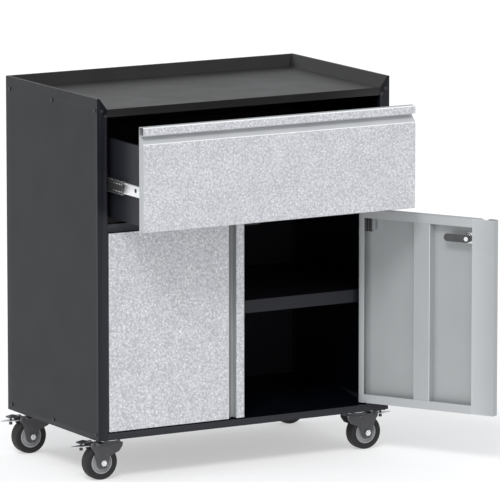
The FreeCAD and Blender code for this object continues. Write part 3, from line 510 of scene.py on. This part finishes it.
def fold_path(corners):
    """Points along the path, each with its outward direction, with every corner between the ends rounded."""
    corners = [Vector(c) for c in corners]
    along = [(b - a).normalized() for a, b in zip(corners, corners[1:])]
    out = [Vector((d.y, -d.x)) for d in along]
    stations = [(corners[0], out[0])]
    for corner, before, after, out_before, out_after in zip(corners[1:], along, along[1:], out, out[1:]):
        outside = before.cross(after) > 0
        radius = FOLD if outside else -TIGHT_FOLD
        turn = before.angle(after)
        centre = corner - before * abs(radius) * math.tan(turn / 2) - out_before * radius
        for step in range(ARC_STEPS + 1):
            facing = out_before.slerp(out_after, step / ARC_STEPS)
            stations.append((centre + facing * radius, facing))
    stations.append((corners[-1], out[-1]))
    return stations


print("every fold has", ARC_STEPS + 1, "points")

# %% [markdown]
# ### The relief
#
# Embossing rolls press a pebbly pattern into the sheet before it is folded: rounded bumps some five
# millimetres across, with narrow valleys between them. The absolute value of a smooth noise has just that
# shape, since it makes a crease wherever the noise crosses zero. A second, finer noise breaks it up.

# %% Embossing
PEBBLE = 5.2 * MM
PEBBLE_HEIGHT = 0.95 * MM
PEBBLE_MEAN = 0.25
GRIT_SHARE = 0.22
GRIT_FINENESS = 2.3
GRIT_SHIFT = Vector((7, 3, 5))


def relief(along, across):
    place = Vector((along, across, 0)) / PEBBLE
    pebbles = abs(noise.noise(place))
    grit = noise.noise(place * GRIT_FINENESS + GRIT_SHIFT)
    return PEBBLE_HEIGHT * (pebbles - PEBBLE_MEAN + GRIT_SHARE * grit)


print("relief at four places:", [round(relief(x * MM, 0) / MM, 3) for x in (0, 3, 6, 9)])

# %% [markdown]
# ### Sweeping the sheet
#
# The path is swept along the front in narrow columns, once for the outer skin and once for the inner one. On
# the embossed runs the outer points lie close enough together to carry the pebbles, which fade out before a
# fold or a cut edge. The inner skin needs only the points at the folds, so the sheet stays light.

# %% Points of a folded sheet
SHEET = 0.95 * MM
GRID = 1.55 * MM
FADE = 3.0 * MM


def smoothstep(x):
    x = min(max(x, 0.0), 1.0)
    return x * x * (3 - 2 * x)


def embossed_rings(shape, start, end, facing, places, place):
    """Rings of points between two folds, raised by the relief."""
    length = (end - start).length
    rows = round(length / GRID)
    rings = []
    for row in range(1, rows):
        at = start.lerp(end, row / rows)
        distance = min(row, rows - row) * length / rows
        ring = []
        for s in places:
            edge = min(distance, s - places[0], places[-1] - s)
            rise = relief(s, at.x) * smoothstep(edge / FADE)
            ring.append(shape.verts.new(place(*(at + facing * rise), s)))
        rings.append(ring)
    return rings


def sheet_rings(shape, stations, span, place, embossed):
    """Outer and inner rings of points, and the number of the outer ring at each station."""
    columns = round((span[1] - span[0]) / GRID)
    places = [span[0] + (span[1] - span[0]) * c / columns for c in range(columns + 1)]
    outer, inner, ring_at = [], [], []
    for index, (point, facing) in enumerate(stations):
        inner.append([shape.verts.new(place(*(point - facing * SHEET), s)) for s in places])
        ring_at.append(len(outer))
        outer.append([shape.verts.new(place(*point, s)) for s in places])
        run, step = divmod(index, ARC_STEPS + 1)
        if step == 0 and run in embossed:
            outer += embossed_rings(shape, point, stations[index + 1][0], facing, places, place)
    return outer, inner, ring_at


print("points on a metre of embossed sheet:", round(1 / GRID))

# %% [markdown]
# ### Skin and finishes
#
# Faces now join the rings. The long flat caps that close the cut edges tie the dense outer side to the coarse
# inner one. One sheet carries four finishes: the embossed faces, the plain back, the groove and a painted
# highlight along a sharp fold. A run and the fold after it share a finish, unless that fold carries the painted
# highlight.

# %% Sweep a folded sheet
EMBOSSED, PLAIN, FOLD_HIGHLIGHT, GROOVE_PAINT = 0, 1, 2, 3
GROOVE_RUNS = (3, 4, 5)


def paint_after(index, embossed, highlight_folds):
    """The finish between a station and the next. A fold with a painted highlight comes before each run listed in
    the last argument.
    """
    run, step = divmod(index, ARC_STEPS + 1)
    if step > 0 and run + 1 in highlight_folds:
        return FOLD_HIGHLIGHT
    if run in embossed:
        return EMBOSSED
    return GROOVE_PAINT if run in GROOVE_RUNS else PLAIN


def add_face(shape, corners, paint):
    shape.faces.new(corners).material_index = paint


def add_sheet(shape, corners, span, place, embossed, highlight_folds):
    """Add one folded sheet whose embossed runs carry the relief."""
    outer, inner, ring_at = sheet_rings(shape, fold_path(corners), span, place, embossed)
    last = len(inner[0]) - 1
    for index, (here, there) in enumerate(zip(inner, inner[1:])):
        skin = outer[ring_at[index]:ring_at[index + 1] + 1]
        paint = paint_after(index, embossed, highlight_folds)
        for low, high in zip(skin, skin[1:]):
            for c in range(last):
                add_face(shape, (low[c], low[c + 1], high[c + 1], high[c]), paint)
        for c in range(last):
            add_face(shape, (here[c], there[c], there[c + 1], here[c + 1]), PLAIN)
        for c in (0, last):
            add_face(shape, [ring[c] for ring in skin] + [there[c], here[c]], PLAIN)
    for index in (0, -1):
        front, back = outer[ring_at[index]], inner[index]
        for c in range(last):
            add_face(shape, (front[c], back[c], back[c + 1], front[c + 1]), PLAIN)


print("runs in the groove:", GROOVE_RUNS)

# %% [markdown]
# ### Ends and hems
#
# The pan behind the broad face is closed at both ends by upturned walls, and a hem runs round its back.
# They are flat prisms. A helper makes a prism from an outline across the folds.

# %% Prisms across the folds
EDGE_SOFTNESS = 0.3 * MM


def add_prism(shape, outline, span, place):
    rings = [[shape.verts.new(place(*corner, s)) for corner in outline] for s in span]
    faces = [shape.faces.new(ring) for ring in rings]
    for a in range(len(outline)):
        b = (a + 1) % len(outline)
        faces.append(shape.faces.new((rings[0][a], rings[0][b], rings[1][b], rings[1][a])))
    bmesh.ops.recalc_face_normals(shape, faces=faces)
    for face in faces:
        face.material_index = PLAIN
    edges = list({edge for face in faces for edge in face.edges})
    bmesh.ops.bevel(shape, geom=edges, offset=EDGE_SOFTNESS, segments=2, profile=0.5, affect="EDGES",
                    material=PLAIN)


print("prisms softened by", round(EDGE_SOFTNESS / MM, 2), "mm")

# %% [markdown]
# ### One front
#
# All three fronts share this shape. Distances are measured from the finger edge across the front, and from
# the face backwards, so each front only says where those two directions lead in space.

# %% A whole front
THICKNESS = 19 * MM
GROOVE_DEPTH = 16 * MM
SLOPE_RUN = 14.5 * MM
BAND = 14 * MM
HEM = 14 * MM
FRONT_LIMIT = 40


def folded_front(name, node, reach, span, place, strip, groove, end_hem, groove_coat, highlight_folds=(6,)):
    fold = strip + groove
    foot = fold - SLOPE_RUN
    band_end = fold + BAND
    shape = bmesh.new()
    add_sheet(shape, [
        (band_end, THICKNESS), (0, THICKNESS), (0, 0), (strip, 0), (strip, GROOVE_DEPTH),
        (foot, GROOVE_DEPTH), (fold, 0), (reach, 0), (reach, THICKNESS), (reach - HEM, THICKNESS),
    ], span, place, embossed=(2, 6), highlight_folds=highlight_folds)
    wall = [(foot + SHEET, GROOVE_DEPTH), (fold + SHEET / 2, SHEET), (reach - SHEET, SHEET),
            (reach - SHEET, THICKNESS - SHEET), (foot + SHEET, THICKNESS - SHEET)]
    hem_strip = [(band_end, THICKNESS - SHEET), (reach - HEM, THICKNESS - SHEET), (reach - HEM, THICKNESS),
                 (band_end, THICKNESS)]
    low, high = span
    add_prism(shape, wall, (low, low + SHEET), place)
    add_prism(shape, wall, (high - SHEET, high), place)
    add_prism(shape, hem_strip, (low, low + end_hem), place)
    add_prism(shape, hem_strip, (high - end_hem, high), place)
    bmesh.ops.recalc_face_normals(shape, faces=shape.faces)
    mesh = bpy.data.meshes.new(name)
    shape.to_mesh(mesh)
    shape.free()
    coats = ("silver_hammer_coat", "silver_powder_coat", "silver_fold_highlight", groove_coat)
    put(name, mesh, [node], [paints[coat] for coat in coats], smooth=FRONT_LIMIT)
    print(name, made[name], "faces")


print("fronts", round(THICKNESS / MM), "mm thick with a groove", round(GROOVE_DEPTH / MM), "mm deep")

# %% [markdown]
# ### Drawer front
#
# Its finger strip lies along the top. The strip is a tube left open at its ends, where you can look in.

# %% Drawer front
drawer_low, drawer_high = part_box("drawer_front")
# The drawer's groove is painted lighter against the strip's shade, and its folds carry the painted highlight.
folded_front(
    "embossed_drawer_front", "drawer_front", drawer_high.z - drawer_low.z, (drawer_low.x, drawer_high.x),
    lambda across, depth, along: (along, drawer_low.y + depth, drawer_high.z - across),
    strip=18 * MM, groove=18 * MM, end_hem=14 * MM, groove_coat="silver_groove_lit", highlight_folds=(2, 6))

# %% [markdown]
# ### Doors
#
# The doors meet in the middle, so their finger strips stand upright there. The right door is drawn shut, as
# the mirror of the left one, and then swung about its hinge by the angle at which it rests.

# %% Doors
door_low, door_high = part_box("left_door_panel")
hinge = joint_of["right_door_hinge"]
hinge_x, hinge_y = hinge["pos_m"][:2]
rest_swing = Matrix.Rotation(math.radians(-hinge["range_deg"][0]), 3, "Z")


def left_door_place(across, depth, along):
    return door_high.x - across, door_low.y + depth, along


def right_door_place(across, depth, along):
    shut = Vector((across - door_high.x - hinge_x, door_low.y + depth - hinge_y, along))
    return rest_swing @ shut + Vector((hinge_x, hinge_y, 0))


for side, placed in (("left", left_door_place), ("right", right_door_place)):
    folded_front(
        f"embossed_{side}_door", f"{side}_door_panel", door_high.x - door_low.x, (door_low.z, door_high.z),
        placed, strip=20 * MM, groove=20 * MM, end_hem=19 * MM, groove_coat="silver_powder_coat")

# %% [markdown]
# ### Behind the doors
#
# A hat-shaped stiffener runs up the middle of each door and a pivot block sits in each hinge corner. Both have the
# door's smooth silver, and the stiffener's folds carry a painted highlight. The lock is a barrel with a plug that
# takes the key.

# %% Stiffeners, pivots and lock
STIFFENER_EDGE = 0.48 * MM
# The stiffener's bevels carry the painted highlight.
soften(["left_door_stiffener", "right_door_stiffener"], STIFFENER_EDGE, 3,
       finishes=["silver_powder_coat", "silver_fold_highlight"])
soften(["left_door_pivots", "right_door_pivots"], BLOCK_EDGE, finishes=["silver_powder_coat"])
soften(["lock_barrel", "lock_plug"], SCREW_EDGE, 3)

# %% [markdown]
# ### The cam and its screw
#
# The cam is a painted lever on the back of the lock, held by a chromed screw. Both are one solid, so they
# are told apart by where a face lies: the screw is what stands proud of the lever, near the axis of the
# lock.

# %% Cam
CAM_THICKNESS = 3 * MM
CAM_EDGE = 0.6 * MM
SCREW_RADIUS = 6.5 * MM
cam = put("soft_lock_cam", softened_mesh("lock_cam", CAM_EDGE, 3), ["lock_cam"],
          [paints["fork_paint"], paints["bright_chrome"]])
turning = joint_of["lock_turn"]
lock_axis, lock_centre = Vector(turning["axis"]), Vector(turning["pos_m"])
heights = [(v.co - lock_centre).dot(lock_axis) for v in cam.data.vertices]
inward = math.copysign(1, max(heights, key=abs))
lever_top = min(height * inward for height in heights) + CAM_THICKNESS
for face in cam.data.polygons:
    offset = face.center - lock_centre
    height = offset.dot(lock_axis)
    radius = (offset - lock_axis * height).length
    if radius < SCREW_RADIUS and height * inward > lever_top:
        face.material_index = 1
print("screw faces:", sum(face.material_index for face in cam.data.polygons))

# %% [markdown]
# ### Pivot covers
#
# Each upper pivot block wears a small black moulding with three upright ribs. The frame has no such piece,
# so a helper adds fittings that ride on a body and stand for no node. The outline across the ribs is a row
# of half rounds, drawn as points on circles and then pulled up into a prism.

# %% Fittings and pivot covers
FITTING_LIMIT = 40


def add_fitting(name, shape, body, finishes):
    """Place a small piece on a body, with its finishes in order."""
    mesh = bpy.data.meshes.new(name)
    shape.to_mesh(mesh)
    shape.free()
    for coat in finishes:
        mesh.materials.append(paints[coat])
    mesh.shade_smooth()
    mesh.set_sharp_from_angle(angle=math.radians(FITTING_LIMIT))
    fitting = bpy.data.objects.new(name, mesh)
    bpy.context.collection.objects.link(fitting)
    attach(fitting, body)
    made[name] = len(mesh.polygons)


COVER_WIDTH = 20 * MM
COVER_DEPTH = 2.6 * MM
COVER_TOP, COVER_FOOT = 16 * MM, 48 * MM
COVER_OVERLAP = 0.5 * MM
RIBS = 3
RIB_STEPS = 8
RIB_SHARE = 0.96
VALLEY_SHARE = 0.25
block_low, block_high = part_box("left_door_pivots")
block_depth = block_high.y - door_low.y


def pivot_cover(name, placed, body):
    """Ribs of equal pitch on the block. A rib fills its share of the pitch, a valley is part as deep."""
    shape = bmesh.new()
    start = door_high.x - block_low.x - COVER_WIDTH + COVER_OVERLAP
    pitch = COVER_WIDTH / RIBS
    outline = [(start, block_depth - SHEET)]
    for rib in range(RIBS):
        for step in range(RIB_STEPS + 1):
            angle = math.pi * step / RIB_STEPS
            across = start + pitch * (rib + 0.5) - pitch / 2 * RIB_SHARE * math.cos(angle)
            rise = VALLEY_SHARE + (1 - VALLEY_SHARE) * math.sin(angle)
            outline.append((across, block_depth + COVER_DEPTH * rise))
    outline.append((start + COVER_WIDTH, block_depth - SHEET))
    add_prism(shape, outline, (door_high.z - COVER_FOOT, door_high.z - COVER_TOP), placed)
    for face in shape.faces:
        face.material_index = 0
    add_fitting(name, shape, body, ["black_hardware"])


pivot_cover("left_pivot_cover", left_door_place, "left_door")
pivot_cover("right_pivot_cover", right_door_place, "right_door")
print("pivot covers of", made["left_pivot_cover"], "faces")

# %% [markdown]
# ## Drawer slides and small fittings
#
# The slides are channels that run inside one another: zinc outside, one painted dark as painted shade between, and
# one with a painted highlight on the drawer. The shelf rests on clips, two magnets hang from the rail to hold the
# doors, and black screws hold the case together.

# %% Slides, brackets, clips and catches
CLIP_EDGE = 0.4 * MM
CATCH_EDGE = 0.6 * MM
for side in ("left", "right"):
    soften([f"{side}_slide_{member}" for member in ("outer", "bracket")], THIN_EDGE)
    # The middle member is painted dark as painted shade, with zinc bevels as painted glints.
    soften([f"{side}_slide_middle"], THIN_EDGE, finishes=["shaded_slide_steel", "zinc_plate"])
    # The drawer's member has a lighter copy of zinc as a painted highlight.
    soften([f"{side}_slide_inner"], THIN_EDGE, finishes=["lit_slide_zinc"])
soften(["shelf_clips"], CLIP_EDGE)
soften(["magnet_catches"], CATCH_EDGE)
soften(["panel_screws"], SCREW_EDGE, 3, finishes=["black_plastic"])

# %% [markdown]
# ### Ball cages and screws
#
# The slide members roll on small steel balls, which a black cage keeps apart. The front end of the cage
# shows when the drawer is out. The bright member is fixed to the drawer by black pan-head screws through
# its holes. A ball or a screw head is a sphere flattened along X and half sunk in the sheet.

# %% Ball cages and slide screws
CAGE_LENGTH, CAGE_HALF_HEIGHT, CAGE_THICKNESS = 58 * MM, 11.5 * MM, 0.5 * MM
BALL_RADIUS, BALL_PROUD = 2.3 * MM, 0.8 * MM
BALL_START, BALL_PITCH, BALL_ROW = 4.2 * MM, 7 * MM, 8 * MM
SLIDE_HOLE_START, SLIDE_HOLE_PITCH, SLIDE_HOLES = 35 * MM, 95 * MM, 4
HEAD_RADIUS, HEAD_HEIGHT = 4.6 * MM, 1.8 * MM
SLIDE_SHEET = 1.2 * MM


def add_button(shape, centre, radius, proud, paint):
    """A flattened ball centred on the sheet, so that half of it stands proud along X."""
    squash = Matrix.Diagonal((proud / radius, 1, 1, 1))
    ball = bmesh.ops.create_uvsphere(shape, u_segments=16, v_segments=10, radius=radius,
                                     matrix=Matrix.Translation(centre) @ squash)
    for face in {face for vert in ball["verts"] for face in vert.link_faces}:
        face.material_index = paint


for side in ("left", "right"):
    low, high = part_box(f"{side}_slide_middle")
    web = low.x if side == "left" else high.x
    middle_z = (low.z + high.z) / 2
    shape = bmesh.new()
    centre = Vector((web, low.y + CAGE_LENGTH / 2, middle_z))
    bmesh.ops.create_cube(shape, size=2, matrix=Matrix.Translation(centre) @ Matrix.Diagonal(
        (CAGE_THICKNESS, CAGE_LENGTH / 2, CAGE_HALF_HEIGHT, 1)))
    for row in (-1, 1):
        for ball in range(int(CAGE_LENGTH / BALL_PITCH)):
            spot = Vector((web, low.y + BALL_START + BALL_PITCH * ball, middle_z + row * BALL_ROW))
            add_button(shape, spot, BALL_RADIUS, BALL_PROUD, 1)
    add_fitting(f"{side}_ball_cage", shape, f"{side}_slide_carriage", ["black_plastic", "bright_chrome"])
    low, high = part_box(f"{side}_slide_inner")
    web = high.x - SLIDE_SHEET if side == "left" else low.x + SLIDE_SHEET
    shape = bmesh.new()
    for hole in range(SLIDE_HOLES):
        spot = Vector((web, low.y + SLIDE_HOLE_START + hole * SLIDE_HOLE_PITCH, middle_z))
        add_button(shape, spot, HEAD_RADIUS, HEAD_HEIGHT, 0)
    add_fitting(f"{side}_slide_screws", shape, "drawer", ["black_hardware"])
    print(side, "slide: last screw at", [round(c, 4) for c in spot])

# %% [markdown]
# ## Casters
#
# A swivel caster is a bolted plate, a pressed fork that turns under it, a wheel on an axle and a brake that
# is pressed with the toe. All but the wheel are softened like the rest.

# %% Forks, plates, pedals and bolts
NUT_EDGE = 0.7 * MM
CORNERS = ("front_left", "front_right", "rear_left", "rear_right")
for corner in CORNERS:
    soften([f"{corner}_caster_plate", f"{corner}_brake_plate"], THIN_EDGE)
    soften([f"{corner}_fork", f"{corner}_pedal"], BLOCK_EDGE, 3)
    soften([f"{corner}_axle"], NUT_EDGE, 3)
soften(["caster_bolts"], SCREW_EDGE)

# %% [markdown]
# ### Turning
#
# A wheel could be carved out of a cylinder, but it is round in every section, so it is made as on a lathe:
# a profile of radius and distance goes round the axle in equal steps.

# %% Turning on a lathe
TURN_STEPS = 72


def turned(name, profile, centre):
    """A ring round the Y axis through centre, from a closed profile of (radius, distance) points."""
    shape = bmesh.new()
    rings = []
    for step in range(TURN_STEPS):
        angle = 2 * math.pi * step / TURN_STEPS
        spoke = Vector((math.cos(angle), 0, math.sin(angle)))
        rings.append([shape.verts.new(centre + spoke * r + Vector((0, y, 0))) for r, y in profile])
    for a, b in zip(rings, rings[1:] + rings[:1]):
        for k in range(len(profile)):
            n = (k + 1) % len(profile)
            shape.faces.new((a[k], a[n], b[n], b[k]))
    bmesh.ops.recalc_face_normals(shape, faces=shape.faces)
    mesh = bpy.data.meshes.new(name)
    shape.to_mesh(mesh)
    shape.free()
    return mesh


print("turning in steps of", 360 / TURN_STEPS, "degrees")

# %% [markdown]
# ### Tyre and hub
#
# The tyre has rounded shoulders, a bead against the hub and a fine mould line round the middle of the
# tread. The hub is a flat moulded disc with raised rings on both faces and a boss round the axle. Both are
# the same on either side, so half a profile is enough. Its points are radius and distance in millimetres.

# %% Wheels
TYRE_LIMIT, HUB_LIMIT = 60, 35


def mirrored_profile(half):
    """The whole outline from its half on the far side of the wheel."""
    return half + [(r, -y) for r, y in reversed(half)]


TYRE_HALF = [(25.0, 11.2), (26.0, 12.4), (27.2, 12.8), (28.2, 12.3), (29.0, 12.8), (31.5, 13.0), (34.4, 13.0),
             (35.8, 12.5), (36.8, 11.6), (37.4, 10.2), (37.7, 8.0), (37.9, 4.0), (37.95, 0.7), (38.0, 0.35)]
HUB_HALF = [(4.1, 14.1), (8.2, 14.1), (9.0, 13.6), (9.4, 11.4), (10.4, 10.6), (18.6, 10.6), (19.2, 10.0),
            (20.4, 10.0), (21.0, 10.6), (21.4, 11.8), (22.0, 12.3), (23.9, 12.3), (24.7, 11.9), (25.1, 11.0)]
for corner in CORNERS:
    low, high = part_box(f"{corner}_tyre")
    centre = (low + high) / 2
    for part, half, smooth in (("tyre", TYRE_HALF, TYRE_LIMIT), ("hub", HUB_HALF, HUB_LIMIT)):
        outline = [(r * MM, y * MM) for r, y in mirrored_profile(half)]
        put(f"{corner}_turned_{part}", turned(part, outline, centre), [f"{corner}_{part}"], smooth=smooth)
print("wheels of", made["front_left_turned_tyre"] + made["front_left_turned_hub"], "faces each")

# %% Sizes and the end
print(len(made), "pieces,", sum(made.values()), "faces")
